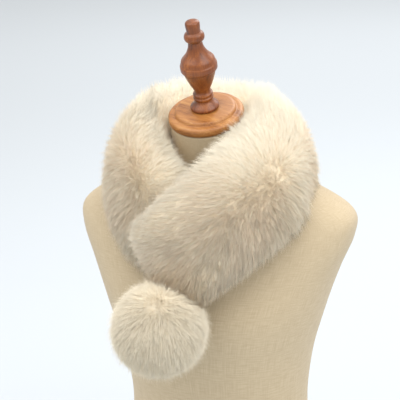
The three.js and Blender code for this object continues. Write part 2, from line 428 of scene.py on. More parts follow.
@dataclass(frozen=True)
class LinenFinish:
    """Plain-woven unbleached linen, slubbed both ways."""

    name: str
    dark: Colour
    pale: Colour
    thread: float = 0.9 * MM

    def material(self) -> bpy.types.Material:
        """The finish as a material, its threads along the piece's own Weave map."""
        material, tree = new_material(self.name)
        place = add_node(tree, "ShaderNodeUVMap", uv_map="Weave")
        height = None
        slubs = None
        for turn, stretch in ((0, (1.0, 0.05, 1.0)), (1, (0.05, 1.0, 1.0))):
            weave = add_node(tree, "ShaderNodeTexWave", wave_type="BANDS")
            weave.inputs["Scale"].default_value = 1.0 / (math.pi * self.thread)
            weave.bands_direction = "Y" if turn else "X"
            weave.inputs["Distortion"].default_value = 0.6
            squeeze = add_node(tree, "ShaderNodeMapping", Scale=tuple(1100.0 * s for s in stretch))
            slub = add_node(tree, "ShaderNodeTexNoise", Scale=1.0, Detail=3.0)
            link(tree,
                 (place, "UV", weave, "Vector"),
                 (place, "UV", squeeze, "Vector"),
                 (squeeze, "Vector", slub, "Vector"))
            if height is None:
                height, slubs = weave.outputs["Fac"], slub.outputs["Fac"]
                continue
            over = add_node(tree, "ShaderNodeMath", operation="MAXIMUM")
            tree.links.new(height, over.inputs[0])
            link(tree, (weave, "Fac", over, 1))
            both = add_node(tree, "ShaderNodeMath", operation="MULTIPLY")
            tree.links.new(slubs, both.inputs[0])
            link(tree, (slub, "Fac", both, 1))
            height, slubs = over.outputs["Value"], both.outputs["Value"]
        ramp = colour_ramp(tree, [(0.05, self.dark), (0.42, self.pale)])
        raised = add_node(tree, "ShaderNodeBump", Strength=0.3, Distance=0.0003)
        body = add_node(tree, "ShaderNodeBsdfPrincipled",
                        Roughness=0.9, Specular_IOR_Level=0.2, Sheen_Weight=0.15)
        tree.links.new(slubs, ramp.inputs["Fac"])
        link(tree, (ramp, "Color", body, "Base Color"))
        tree.links.new(height, raised.inputs["Height"])
        link(tree, (raised, "Normal", body, "Normal"))
        set_surface(tree, body)
        return material


@dataclass(frozen=True)
class WoodFinish:
    """Turned wood under a thin satin varnish, with a few dark specks where it is worn."""

    name: str
    dark: Colour
    middle: Colour
    pale: Colour
    lean: tuple[float, float, float]
    roughness: float = 0.38

    def material(self) -> bpy.types.Material:
        """The finish as a material, its grain along the direction that lean turns Z to."""
        material, tree = new_material(self.name)
        place = tree.nodes.new("ShaderNodeTexCoord")
        turned = add_node(tree, "ShaderNodeMapping", vector_type="TEXTURE", Rotation=self.lean)
        grain = tree.nodes.new("ShaderNodeGroup")
        grain.node_tree = effect_group(Effect.WOOD_GRAIN)
        ramp = colour_ramp(tree, [(0.36, self.dark), (0.5, self.middle), (0.64, self.pale)])
        spots = add_node(tree, "ShaderNodeTexNoise", Scale=210.0, Detail=1.0)
        worn = add_node(tree, "ShaderNodeMapRange", From_Min=0.76, From_Max=0.8)
        mixed = add_node(tree, "ShaderNodeMix", data_type="RGBA")
        mixed.inputs[7].default_value = (*(0.35 * c for c in self.dark), 1.0)
        raised = add_node(tree, "ShaderNodeBump", Strength=0.12, Distance=0.0003)
        gloss = add_node(tree, "ShaderNodeMapRange", To_Min=self.roughness - 0.06)
        gloss.inputs["To Max"].default_value = self.roughness + 0.12
        body = add_node(tree, "ShaderNodeBsdfPrincipled", Coat_Weight=0.15, Coat_Roughness=0.25)
        link(tree,
             (place, "Object", turned, "Vector"),
             (turned, "Vector", grain, "Vector"),
             (place, "Object", spots, "Vector"),
             (grain, "Streaks", ramp, "Fac"),
             (spots, "Fac", worn, "Value"),
             (worn, "Result", mixed, "Factor"),
             (ramp, "Color", mixed, 6))
        tree.links.new(mixed.outputs[2], body.inputs["Base Color"])
        link(tree,
             (grain, "Streaks", gloss, "Value"),
             (gloss, "Result", body, "Roughness"),
             (grain, "Height", raised, "Height"),
             (raised, "Normal", body, "Normal"))
        set_surface(tree, body)
        return material


@dataclass(frozen=True)
class MattFinish:
    """One matt colour, for the floor."""

    name: str
    colour: Colour

    def material(self) -> bpy.types.Material:
        """The finish as a material."""
        material, tree = new_material(self.name)
        body = add_node(tree, "ShaderNodeBsdfPrincipled", Roughness=0.9)
        body.inputs["Base Color"].default_value = (*self.colour, 1.0)
        set_surface(tree, body)
        return material


def finish_piece(piece: bpy.types.Object, material: bpy.types.Material,
                 replaced: tuple[str, ...] = ()) -> None:
    """Dresses a finished piece and ties it to the frame.

    Args:
        piece: The piece.
        material: Its finish.
        replaced: The solids that it stands for.
    """
    piece.data.materials.clear()
    piece.data.materials.append(material)
    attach(piece, BODY)
    if replaced:
        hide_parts(*replaced)
    faces = np.empty(len(piece.data.polygons), dtype=np.int32)
    piece.data.polygons.foreach_get("loop_total", faces)
    LOG.info("%s: %d triangles", piece.name, int((faces - 2).sum()))


# The dress form


@dataclass
class DressForm:
    """Limbless torso with a neck that leans forward, a turned neck cap and a turned finial."""

    sections: Array = field(default_factory=lambda: np.array([
        # Columns: z and y of the centre, half width, front depth, back depth, exponent, lean.
        [0, 6, 160, 106, 120, 2.3, 0],
        [18, 6, 168, 113, 128, 2.3, 0],
        [60, 6, 170, 115, 130, 2.2, 0],
        [140, 3, 152, 104, 110, 2.2, 0],
        [225, 0, 127, 95, 84, 2.2, 0],
        [315, 0, 132, 112, 80, 2.2, 0],
        [395, 0, 152, 126, 90, 2.3, 0],
        [450, 0, 170, 112, 94, 2.5, 0],
        [496, 0, 188, 92, 88, 2.6, 0],
        [527, -2, 187, 76, 80, 2.4, 3],
        [554, -5, 142, 66, 70, 2.2, 7],
        [576, -9, 86, 58, 62, 2.0, 12],
        [598, -14, 58, 52, 54, 2.0, 17],
        [625, -23, 50, 48, 48, 2.0, 20],
        [650, -31, 47.5, 47, 47, 2.0, 20],
    ]) * np.array([MM, MM, MM, MM, MM, 1.0, math.pi / 180]))
    cap_profile: Array = field(default_factory=lambda: np.array([
        # Columns: height, radius.
        [0, 45], [1.5, 47.5], [5, 49], [9, 49], [11.5, 47.5], [12.5, 44.5], [12.6, 40.5],
        [14.5, 39.6], [16.5, 38], [17.2, 35],
    ]) * MM)
    finial_profile: Array = field(default_factory=lambda: np.array([
        # Columns: height, radius.
        [0, 17.2], [1.5, 18.6], [4, 18.4], [7, 15.4], [10, 12.2], [12.5, 11.2], [14, 12.6],
        [16.5, 13], [18, 11.8], [19.5, 12.6], [22, 12.6], [23.5, 10.6], [28, 10.8], [36, 14.6],
        [44, 17.8], [52, 20.4], [54, 20.8], [55.5, 22.6], [57, 23.4], [63, 23.4], [65, 22.2], [70, 21],
        [74, 17.6], [78, 14.2], [83, 11.4], [88, 9.6], [93, 9], [95, 9.4], [97, 12], [101, 12.9],
        [105, 11.6], [107, 9], [108.5, 8.6], [118, 9.2], [121, 7.6], [122, 4.5],
    ]) * MM)
    neck_lean: float = math.radians(20)
    seam_gap: float = 0.3 * MM
    rings: int = 120
    around: int = 100
    turned_steps: int = 3
    turned_sides: int = 64
    fine: Array = field(init=False)

    def __post_init__(self) -> None:
        """Works the sections out at even steps, for the surface and for the level."""
        self.fine = smooth_rows(self.sections, np.linspace(0, 1, self.rings + 1))

    @property
    def neck_top(self) -> Array:
        """The middle of the neck's cut top."""
        height, back = self.sections[-1, :2]
        return np.array([0.0, back, height])

    @property
    def neck_axis(self) -> Array:
        """The direction of the neck, from the shoulders up."""
        return np.array([0.0, -math.sin(self.neck_lean), math.cos(self.neck_lean)])

    def torso_rings(self) -> Array:
        """Rings of the torso: superellipses of the table's sizes, each turned back by its lean."""
        height, back, half, front, rear, power, lean = (c[:, None] for c in self.fine.T)
        cosine, sine = superellipse(np.linspace(0, 2 * np.pi, self.around, endpoint=False)[None], power)
        depth = sine * np.where(sine < 0, front, rear)
        return np.stack([half * cosine, back + depth * np.cos(lean), height + depth * np.sin(lean)], axis=-1)

    def turned_rings(self, profile: Array, lift: float) -> Array:
        """Rings of a turned piece: the profile's radii at its heights, about the neck's axis.

        Args:
            profile: Heights and radii.
            lift: How far the profile's foot stands above the neck's top.

        Returns:
            Points by ring and by place round it.
        """
        steps = np.linspace(0, 1, self.turned_steps * (len(profile) - 1) + 1)
        height, radius = (c[:, None, None] for c in smooth_rows(profile, steps).T)
        angle = np.linspace(0, 2 * np.pi, self.turned_sides, endpoint=False)[None, :, None]
        right = np.array([1.0, 0.0, 0.0])
        side = np.array([0.0, math.cos(self.neck_lean), math.sin(self.neck_lean)])
        return self.neck_top + self.neck_axis * (lift + height) + radius * (
            right * np.cos(angle) + side * np.sin(angle))

    def level(self, points: Array) -> Array:
        """How far out the points lie, as a share of the section through them: 1 on the surface.

        The section through a point is found by stepping its height back along the section's
        tilted plane three times.

        Args:
            points: The points.

        Returns:
            A share for each point.
        """
        table = self.fine
        height = points[..., 2].copy()
        for _ in range(3):
            back = np.interp(height, table[:, 0], table[:, 1])
            lean = np.interp(height, table[:, 0], table[:, 6])
            depth = (points[..., 1] - back) / np.cos(lean)
            height = points[..., 2] - depth * np.sin(lean)
        half, front, rear, power = (np.interp(height, table[:, 0], table[:, c]) for c in (2, 3, 4, 5))
        reach = np.where(depth < 0, front, rear)
        return ((np.abs(points[..., 0]) / half) ** power + (np.abs(depth) / reach) ** power) ** (1 / power)

    def height_over(self, points: Array) -> tuple[Array, Array]:
        """Distance of the points outside the surface, and the direction away from it.

        The direction is the level's slope, taken by small steps along each axis, and the distance
        is the level over 1, divided by the slope's length.

        Args:
            points: The points.

        Returns:
            Distances, less than nothing inside, and unit vectors.
        """
        step = 0.5 * MM
        here = self.level(points)
        slope = np.stack([(self.level(points + step * axis) - here) / step for axis in np.eye(3)], axis=-1)
        steep = np.linalg.norm(slope, axis=-1)
        return (here - 1) / steep, slope / steep[..., None]

    def push_out(self, points: Array, clearance: Array | float) -> Array:
        """The points, those nearer to the surface than the clearance moved out to it.

        Args:
            points: The points.
            clearance: Least distance outside the surface.

        Returns:
            The points, after three steps away from the surface.
        """
        for _ in range(3):
            height, away = self.height_over(points)
            points = points + np.maximum(clearance - height, 0.0)[..., None] * away
        return points

    def build(self) -> list[bpy.types.Object]:
        """The torso, the cap and the finial, dressed.

        Returns:
            The three pieces.
        """
        rings = self.torso_rings()
        girth = np.linalg.norm(np.diff(rings[len(rings) // 2], axis=0), axis=-1).sum()
        torso = loft_object("form_cover", rings, (girth, self.sections[-1, 0]))
        linen = LinenFinish("linen", (0.47, 0.37, 0.24), (0.57, 0.47, 0.32))
        finish_piece(torso, linen.material(), ("form_torso",))
        cap = loft_object("turned_cap", self.turned_rings(self.cap_profile, self.seam_gap))
        honey = WoodFinish("honey_wood", (0.21, 0.07, 0.013), (0.38, 0.15, 0.036), (0.50, 0.235, 0.066),
                           (math.radians(90), 0.0, math.radians(70)))
        finish_piece(cap, honey.material(), ("neck_cap",))
        lift = self.cap_profile[-1, 0] + 2 * self.seam_gap
        finial = loft_object("turned_finial", self.turned_rings(self.finial_profile, lift))
        chestnut = WoodFinish("chestnut_wood", (0.09, 0.020, 0.003), (0.20, 0.050, 0.007),
                              (0.32, 0.096, 0.016), (self.neck_lean, 0.0, 0.0), 0.34)
        finish_piece(finial, chestnut.material(), ("finial",))
        return [torso, cap, finial]


# Hair


@dataclass
class Hairs:
    """Many wisps of hair, each a thin closed spike from its root in the underfur to its tip."""

    root: Array
    tip: Array
    outward: Array
    width: Array
    tint: Array
    foot: Array
    top: Array
    facing: Array

    def kept(self, chosen: Mask) -> "Hairs":
        """The chosen wisps."""
        return Hairs(*(getattr(self, part.name)[chosen] for part in fields(self)))

    def mesh(self, name: str) -> bpy.types.Object:
        """The wisps as one mesh of four points and four faces to a wisp.

        The root is a flat triangle, one width across and three fifths of it high. Normals are
        three quarters the wisp's facing and a quarter the point's own direction, so that the
        coat shades as one soft mass.

        Args:
            name: The piece's name.

        Returns:
            The object, with its map of tint across and root to tip up.
        """
        count = len(self.root)
        chord = unit(self.tip - self.root)
        side = unit(np.cross(chord, self.outward))
        lift = np.cross(side, chord)
        ring = np.stack([side * 0.5 - lift * 0.2, -side * 0.5 - lift * 0.2, lift * 0.4], axis=1)
        base = self.root[:, None, :] + ring * self.width[:, None, None]
        points = np.concatenate([base, self.tip[:, None, :]], axis=1)
        facing = self.facing[:, None, :]
        own = np.concatenate([unit(ring), facing], axis=1)
        normals = unit(0.75 * facing + 0.25 * own)
        pattern = np.array([[0, 1, 3], [1, 2, 3], [2, 0, 3], [0, 2, 1]])
        faces = (4 * np.arange(count)[:, None, None] + pattern[None]).reshape(-1, 3)
        made = mesh_object(name, points.reshape(-1, 3), np.empty((0, 4), dtype=int), faces)
        up = np.stack([self.foot, self.foot, self.foot + MAP_MARGIN, self.top], axis=-1)
        across = np.clip(self.tint, MAP_MARGIN, 1 - MAP_MARGIN)[:, None]
        across = across + MAP_MARGIN / 2 * np.array([-1, 1, 0, 0])
        maps = np.stack([across, np.clip(up, MAP_MARGIN, 1 - MAP_MARGIN)], axis=-1).reshape(-1, 2)
        layer = made.data.uv_layers.new(name=BAKE_MAP)
        layer.data.foreach_set("uv", maps[faces.ravel()].astype(np.float32).ravel())
        made.data.normals_split_custom_set_from_vertices(normals.reshape(-1, 3).astype(np.float32))
        return made


@dataclass(frozen=True)
class Coat:
    """Sizes of a coat of hair, in metres, and how it lies.

    Pairs are ranges, or a clump's value and then a single hair's. Guard hairs are single longer
    ones, and tufts are whole clumps that stand out at the band's edges.
    """

    root_depth: Range = (12 * MM, 17 * MM)
    clear: float = 0.5 * MM
    root_clear: float = 1 * MM
    lay: float = 20 * MM
    lay_below: float = 6 * MM
    clump_lay: Range = (0.7, 1.2)
    hair_lay: Range = (0.75, 1.1)
    clump_spacing: float = 3.25 * MM
    clump_jitter: float = 0.45
    hairs_a_clump: int = 9
    spread: float = 0.9
    gather: Range = (0.3, 0.8)
    width: Range = (0.5 * MM, 1.1 * MM)
    unruly: float = 1.1 * MM
    unruly_hair: float = 0.4
    short_share: float = 0.35
    short_lay: float = 0.35
    short_sunk: float = 4.5 * MM
    sunk: float = 4 * MM
    uneven: float = 0.9 * MM
    pushed: float = 10 * MM
    guard_share: float = 0.18
    guard: float = 4.5 * MM
    guard_length: Range = (0.3, 1.3)
    guard_outward: float = 0.8
    guard_width: float = 0.6
    tuft_share: float = 0.45
    tuft: float = 10 * MM
    tuft_length: Range = (0.75, 1.0)
    tuft_below: float = 0.6
    tuft_at_neck: float = 0.25
    tufts_grow: Range = (0.60, 0.65)
    inner_edge: float = -0.2
    tint_noise: Range = (0.12, 0.14)
    # Painted light: hair is tinted paler the more it faces up, where the lamps fall on it.
    lit_paleness: float = 0.22
    # Painted light: roots of hair that faces up or back start higher on the colour map, so they are paler.
    lit_root_lift: float = 0.5
    # Painted shade: whole clumps stop short of the pale tip colour by a random amount, more on the lower,
    # downward-facing side.
    lock_shade: Range = (0.2, 0.5)
    tilt: Range = (0.15, 0.2)
    rise: float = 1.2
    rise_behind: float = 0.8
    behind: Range = (1.3, 1.8)
    crown: float = 4.0
    crown_turn: Range = (1.9, 2.3)


# The collar


@dataclass
class Band:
    """The fur band's envelope: superellipse sections carried along a smooth centre line."""

    rows: Array = field(default_factory=lambda: np.array([
        # Columns: x, y, z, facing azimuth, facing rise, half width, outer and inner half thickness.
        [24, -118, 486, 10, 8, 46, 20, 18],
        [-6, -120, 511, 0, 12, 62, 24, 22],
        [-38, -111, 538, -20, 16, 72, 30, 26],
        [-74, -79, 568, -46, 20, 76, 38, 36],
        [-98, -28, 594, -78, 20, 79, 46, 42],
        [-93, 27, 604, -106, 18, 80, 47, 42],
        [-62, 66, 606, -142, 18, 80, 46, 40],
        [0, 84, 605, -180, 20, 78, 44, 40],
        [58, 67, 604, -218, 22, 78, 45, 40],
        [83, 22, 603, -256, 22, 77, 46, 40],
        [87, -31, 592, -284, 24, 75, 45, 40],
        [80, -85, 576, -314, 25, 74, 43, 38],
        [50, -130, 550, -336, 22, 71, 38, 34],
        [11, -152, 516, -352, 18, 71, 36, 32],
        [-33, -149, 474, -368, 12, 72, 34, 30],
    ]) * np.array([MM, MM, MM, math.pi / 180, math.pi / 180, MM, MM, MM]))
    under_seam: int = 5
    over_seam: int = 9
    lie: Array = field(default_factory=lambda: np.array([
        # Columns: length from the hidden end, run of the hair along the band, spine's angle past the
        # middle, and how far the coat stands past the part's envelope in millimetres.
        [0.00, -0.50, 0.15, 0],
        [0.05, -0.20, 0.15, 0],
        [0.08, 0.14, 0.15, 1],
        [0.13, 0.50, 0.12, 2.2],
        [0.22, 0.50, 0.10, 2.2],
        [0.28, 0.35, 0.00, 1],
        [0.33, 0.00, 0.00, 0],
        [0.42, 0.00, 0.00, 0],
        [0.47, -0.35, 0.00, 0],
        [0.53, -0.50, 0.00, 0],
        [0.59, -0.45, -0.10, 0],
        [0.65, 0.00, -0.22, 0],
        [0.70, 0.55, -0.20, 0],
        [0.78, 0.70, -0.10, 0],
    ]) * np.array([1.0, 1.0, 1.0, MM]))
    over_edge: tuple[tuple[float, ...], tuple[float, ...]] = ((0.22, 0.30, 0.50, 0.56), (0.0, 0.5, 0.5, 0.0))
    exponent: float = 2.2
    end_round: float = 40 * MM
    end_blunt: float = 3.0
    seam_gap: float = 0.3 * MM
    mean_half: float = 75 * MM
    mean_thick: float = 42 * MM
    edge_reach: float = 76 * MM
    steps: int = 600
    locks: Array = field(default_factory=lambda: np.array([
        # Columns: height, length along the band, bend, bends round the section, locks round it, phase.
        [2.1, 31, 1.9, 3, 4, 0],
        [1.5, 51, 2.1, 2, 3, 1.2],
        [0.8, 23, 1.1, 4, 6, 2.5],
    ]) * np.array([MM, MM, 1, 1, 1, 1]))
    inner_side: float = -0.3
    inner_locks: float = 0.2
    beyond: float = 9.0
    seed: int = 46
    table: Array = field(init=False)
    length: float = field(init=False)
    seams: tuple[float, float] = field(init=False)
    turn_of_share: tuple[Array, Array] = field(init=False)

    def __post_init__(self) -> None:
        """Works out stations at even lengths: centre, tangent, across, face and the three sizes."""
        share = np.linspace(0, 1, 2 * self.steps + 1)
        rows = smooth_rows(self.rows, share)
        centre = rows[:, :3]
        gone = np.concatenate([[0.0], np.cumsum(np.linalg.norm(np.diff(centre, axis=0), axis=-1))])
        self.length = float(gone[-1])
        tangent = unit(np.gradient(centre, axis=0))
        azimuth, rise = rows[:, 3], rows[:, 4]
        level = np.cos(rise)
        face = np.stack([np.sin(azimuth) * level, -np.cos(azimuth) * level, np.sin(rise)], axis=-1)
        face = unit(face - dot(face, tangent)[:, None] * tangent)
        across = np.cross(face, tangent)
        whole = np.concatenate([centre, tangent, across, face, rows[:, 5:8]], axis=1)
        even = np.linspace(0, self.length, self.steps + 1)
        self.table = np.stack([np.interp(even, gone, column) for column in whole.T], axis=-1)
        last = len(self.rows) - 1
        seam_rows = (self.under_seam, self.over_seam)
        self.seams = tuple(float(np.interp(row / last, share, gone)) for row in seam_rows)
        angle = np.linspace(0, 2 * np.pi, 721)
        cosine, sine = superellipse(angle, self.exponent)
        half, outer, inner = self.table[self.steps // 2, 12:15]
        edge = np.stack([half * cosine, np.where(sine < 0, inner, outer) * sine], axis=-1)
        round_gone = np.concatenate([[0.0], np.cumsum(np.linalg.norm(np.diff(edge, axis=0), axis=-1))])
        self.turn_of_share = (round_gone / round_gone[-1], angle)

    @property
    def girth(self) -> float:
        """About how far it is round the band: an ellipse's girth by its mean square half axis."""
        return 2 * np.pi * math.sqrt((self.mean_half**2 + self.mean_thick**2) / 2)

    def station(self, length: Array) -> tuple[Array, Array, Array, Array, Array]:
        """The band at lengths along it.

        Args:
            length: Lengths from the hidden end.

        Returns:
            Centres, tangents, across directions, face directions, and half width with outer and
            inner half thickness.
        """
        place = np.clip(length / self.length, 0, 1) * self.steps
        index = np.minimum(place.astype(int), self.steps - 1)
        share = (place - index)[..., None]
        row = self.table[index] * (1 - share) + self.table[index + 1] * share
        return row[..., 0:3], row[..., 3:6], row[..., 6:9], row[..., 9:12], row[..., 12:15]

    def end_size(self, length: Array) -> Array:
        """Size of the section near the free ends: a blunt quarter curve from nothing to whole."""
        gone = np.clip(np.minimum(length, self.length - length) / self.end_round, 0, 1)
        return (1 - (1 - gone) ** self.end_blunt) ** (1 / self.end_blunt)

    def lock_lift(self, length: Array, turn: Array) -> Array:
        """Height of the large locks over the mean surface, the part's own waves.

        Each lock's wave is a sine of the length, bent by a sine of the angle, times a cosine of
        the angle. The waves are added up, and are lower on the inner side.

        Args:
            length: Lengths from the hidden end.
            turn: Angles round the section.

        Returns:
            Heights in metres.
        """
        total = np.zeros(np.broadcast(length, turn).shape)
        for height, pitch, bend, bends, count, phase in self.locks:
            place = 2 * np.pi * length / pitch + bend * np.sin(bends * turn)
            total += height * np.sin(place) * np.cos(count * turn + phase)
        return total * np.where(superellipse(turn, self.exponent)[1] < self.inner_side, self.inner_locks, 1.0)

    def surface(self, length: Array, turn: Array, depth: Array | float) -> Array:
        """Points under the mean envelope by a depth, no section going below a third of its size.

        Args:
            length: Lengths from the hidden end.
            turn: Angles round the section, from the upper edge over the outer face.
            depth: How far under the envelope.

        Returns:
            The points.
        """
        squeezed = depth + (self.length - 2 * depth) * length / self.length
        centre, _, across, face, sizes = self.station(squeezed)
        cosine, sine = superellipse(turn, self.exponent)
        half, outer, inner = (sizes[..., i] for i in range(3))
        thick = np.where(sine < 0, inner, outer)
        reach = self.end_size(length)
        wide = np.maximum(half - depth, half / 3) * cosine * reach
        deep = np.maximum(thick - depth, thick / 3) * sine * reach
        return centre + across * wide[..., None] + face * deep[..., None]

    def nearest(self, points: Array, low: float, high: float) -> Array:
        """Lengths of the nearest of some stations.

        Args:
            points: The points.
            low: Length of the first station.
            high: Length of the last station.

        Returns:
            A length for each point.
        """
        tried = np.linspace(low, high, 48)
        centres = self.station(tried)[0]
        gap = ((points[:, None, :] - centres[None]) ** 2).sum(axis=-1)
        return tried[gap.argmin(axis=1)]

    def local(self, points: Array, guess: Array) -> tuple[Array, Array, Array]:
        """Place of the points in the band's own frame, found by stepping along the centre line.

        Args:
            points: The points.
            guess: Lengths near theirs.

        Returns:
            Lengths, which may go past the ends, and the offsets across and along the face.
        """
        length = guess
        for _ in range(4):
            inside = np.clip(length, 0, self.length)
            centre, tangent, across, face, _ = self.station(inside)
            length = inside + dot(points - centre, tangent)
        offset = points - self.station(np.clip(length, 0, self.length))[0]
        return length, dot(offset, across), dot(offset, face)

    def level_of(self, length: Array, wide: Array, deep: Array) -> tuple[Array, Array]:
        """Share of the envelope that a place reaches, and of the rounded ends alone.

        The share is the section's superellipse share joined to the end's by the blunt exponent.

        Args:
            length: Lengths from the hidden end.
            wide: Offsets across.
            deep: Offsets along the face.

        Returns:
            Both shares, the second 0 between the ends.
        """
        sizes = self.station(np.clip(length, 0, self.length))[4]
        thick = np.where(deep < 0, sizes[..., 2], sizes[..., 1])
        power = self.exponent
        share = ((np.abs(wide) / sizes[..., 0]) ** power + (np.abs(deep) / thick) ** power) ** (1 / power)
        past = np.maximum(self.end_round - length, length - (self.length - self.end_round))
        end = np.maximum(past, 0.0) / self.end_round
        return (share ** self.end_blunt + end ** self.end_blunt) ** (1 / self.end_blunt), end

    def flow(self, length: Array, turn: Array, outward: Array) -> Array:
        """Direction in which hair lies: from the spine to both edges, along the band, and down.

        Round the section it turns away from a spine by minus the sine of twice the angle, the
        angle being shifted so that the spine lies where the band's table puts it, and at the back so
        that the hair flows outwards over the upper edge. Along the band
        it runs by the same table, away from a whorl on the under stretch. Slow ripples turn it
        by some degrees.

        Args:
            length: Lengths from the hidden end.
            turn: Angles round the section.
            outward: The surface's normals there.

        Returns:
            Vectors in the surface, about one long in the middle of a face.
        """
        rng = np.random.default_rng(self.seed)
        _, tangent, across, face, _ = self.station(length)
        around = unit(-np.sin(turn)[:, None] * across + np.cos(turn)[:, None] * face)
        run, shift = (np.interp(length, self.lie[:, 0], self.lie[:, c]) for c in (1, 2))
        over = np.interp(length, *self.over_edge) * np.sqrt(np.clip(-np.cos(turn), 0, 1))
        angle = turn + over - shift * np.sin(turn)
        fan = -0.9 * np.sin(2 * angle) + 0.14 * ripple(length / (34 * MM), turn, rng)
        run = run + 0.1 * ripple(length / (30 * MM), turn, rng)
        whole = fan[:, None] * around + run[:, None] * tangent + 0.25 * DOWN
        return whole - dot(whole, outward)[:, None] * outward

    def paleness(self, length: Array, turn: Array) -> Array:
        """Tint of the hair: least at the spine, most along the edges, drifting slowly.

        It grows by the cosine squared of the angle away from the spine.

        Args:
            length: Lengths from the hidden end.
            turn: Angles round the section.

        Returns:
            Tints, mostly between 0 and 1.
        """
        rng = np.random.default_rng(self.seed + 1)
        spine = np.interp(length, self.lie[:, 0], self.lie[:, 2])
        away = np.cos(turn - spine * np.sin(turn)) ** 2
        return 0.44 + 0.3 * away + 0.08 * ripple(length / (30 * MM), turn, rng)

    def limit(self, points: Array, guess: Array, most: Array) -> Array:
        """The points, those past a share of the envelope drawn back in to it.

        Args:
            points: The points.
            guess: Lengths near theirs.
            most: The largest share that each may reach.

        Returns:
            The points.
        """
        length, wide, deep = self.local(points, guess)
        level, end = self.level_of(length, wide, deep)
        keep = np.minimum(1.0, most / np.maximum(level, 1e-6))
        last_half = length > self.length / 2
        at_end = np.where(last_half, self.length - self.end_round * (1 - keep * end),
                          self.end_round * (1 - keep * end))
        drawn = np.where(end > 0, at_end, length)
        inside = np.clip(drawn, 0, self.length)
        centre, tangent, across, face, _ = self.station(inside)
        back = (drawn - inside)[:, None] * tangent
        moved = centre + back + across * (keep * wide)[:, None] + face * (keep * deep)[:, None]
        return np.where((keep < 1)[:, None], moved, points)

    def level(self, points: Array, low: float, high: float) -> Array:
        """Share of the envelope between two lengths that the points reach, far past 1 beyond them.

        Args:
            points: The points.
            low: Where the stretch of the envelope starts.
            high: Where it ends.

        Returns:
            A share for each point.
        """
        length, wide, deep = self.local(points, self.nearest(points, low, high))
        beyond = (length < low - self.end_round) | (length > high + self.end_round)
        return np.where(beyond, self.beyond, self.level_of(length, wide, deep)[0])


@dataclass
class Pompom:
    """A round ball of hair that hangs at the collar's end, its hair drooping a little."""

    centre: Array = field(default_factory=lambda: np.array([-16.0, -183.0, 419.0]) * MM)
    core: float = 52 * MM
    reach: float = 63.0 * MM
    root_radius: float = 49 * MM
    comb: Array = field(default_factory=lambda: np.array([-0.10, 0.29, -0.95]) * 0.38)
    guard_share: float = 0.3
    guard: float = 8 * MM
    clumps: int = 5700
    hairs_a_clump: int = 8
    width: Range = (0.5 * MM, 1.1 * MM)
    guard_width: float = 0.6
    seat_noise: float = 0.02
    hair_noise: float = 0.04
    uneven: Range = (0.06, 0.12)
    gather: Range = (0.1, 0.5)
    pale: float = 0.66
    tint_noise: float = 0.1
    tilt: Range = (0.08, 0.2)
    # Painted shade: clumps stop short of the pale tip colour at random, more on the ball's lower half.
    lock_shade: Range = (0.2, 0.4)
    clear: float = 0.2 * MM
    root_clear: float = 1 * MM
    seed: int = 41

    def core_rings(self) -> Array:
        """Rings of the underfur ball, with a shallow irregular relief, sunk at its poles."""
        rng = np.random.default_rng(self.seed)
        tilt = np.linspace(0, np.pi, 50)[1:-1, None]
        turn = np.linspace(0, 2 * np.pi, 72, endpoint=False)[None]
        radius = self.core * (1 + 0.02 * np.sin(tilt) * ripple(6 * tilt, turn, rng))
        return self.centre + radius[..., None] * np.stack(
            [np.sin(tilt) * np.cos(turn), np.sin(tilt) * np.sin(turn), -np.cos(tilt) + 0 * turn], axis=-1)

    def hairs(self, form: DressForm) -> Hairs:
        """Hair in clumps that are spread evenly over the ball.

        A clump's direction is a point of the golden spiral. Its hairs start near it on a small
        inner ball, and their tips gather towards one point on the outer ball, combed downwards.

        Args:
            form: What the ball rests against.

        Returns:
            The hairs.
        """
        rng = np.random.default_rng(self.seed + 1)
        index = np.arange(self.clumps)
        height = 1 - 2 * (index + 0.5) / self.clumps
        turn = index * np.pi * (3 - math.sqrt(5))
        flat = np.sqrt(1 - height**2)
        seat = np.stack([flat * np.cos(turn), flat * np.sin(turn), height], axis=-1)
        seat = unit(seat + self.seat_noise * rng.normal(size=seat.shape))
        heading = unit(seat + self.comb + self.hair_noise * rng.normal(size=seat.shape))
        reach = self.reach * (1 - self.uneven[0] * rng.random(self.clumps) ** 2)
        gather = rng.uniform(*self.gather, self.clumps)
        pale = rng.normal(self.pale, self.tint_noise, self.clumps)
        owner = np.repeat(index, self.hairs_a_clump)
        count = len(owner)
        start = unit(seat[owner] + self.hair_noise * rng.normal(size=(count, 3)))
        end = unit(start + self.comb + self.hair_noise * rng.normal(size=(count, 3)))
        end = unit(end + (heading[owner] - end) * gather[owner, None])
        guard = rng.random(count) < self.guard_share
        long = reach[owner] * (1 - self.uneven[1] * rng.random(count) ** 2)
        long += self.guard * guard * rng.random(count)
        root = self.centre + self.root_radius * start
        tip = self.centre + long[:, None] * end
        tint = pale[owner] + rng.normal(0, self.tint_noise, count)
        width = rng.uniform(*self.width, count) * np.where(guard, self.guard_width, 1.0)
        low = np.clip(0.5 - seat[:, 2], 0, 1)
        tilt = (self.tilt[0] + self.tilt[1] * low)[:, None] * rng.normal(size=(self.clumps, 3))
        facing = unit(start + tilt[owner])
        # Painted shade: clumps on the lower half stop further short of the pale tip colour, at random.
        top = 1 - MAP_MARGIN - ((self.lock_shade[0] + self.lock_shade[1] * low) * rng.random(self.clumps))[owner]
        foot = np.full(count, MAP_MARGIN)
        hairs = Hairs(root, form.push_out(tip, self.clear), start, width, tint, foot, top, facing)
        return hairs.kept(form.height_over(root)[0] > self.root_clear)

    def build(self, form: DressForm, hair: bpy.types.Material, fluff: bpy.types.Material) -> None:
        """The ball of underfur and its hair, dressed."""
        rings = form.push_out(self.core_rings(), 0.4 * MM)
        core = loft_object("pompom_underfur", rings)
        finish_piece(core, fluff, ("pompom",))
        finish_piece(self.hairs(form).mesh("pompom_hair"), hair)


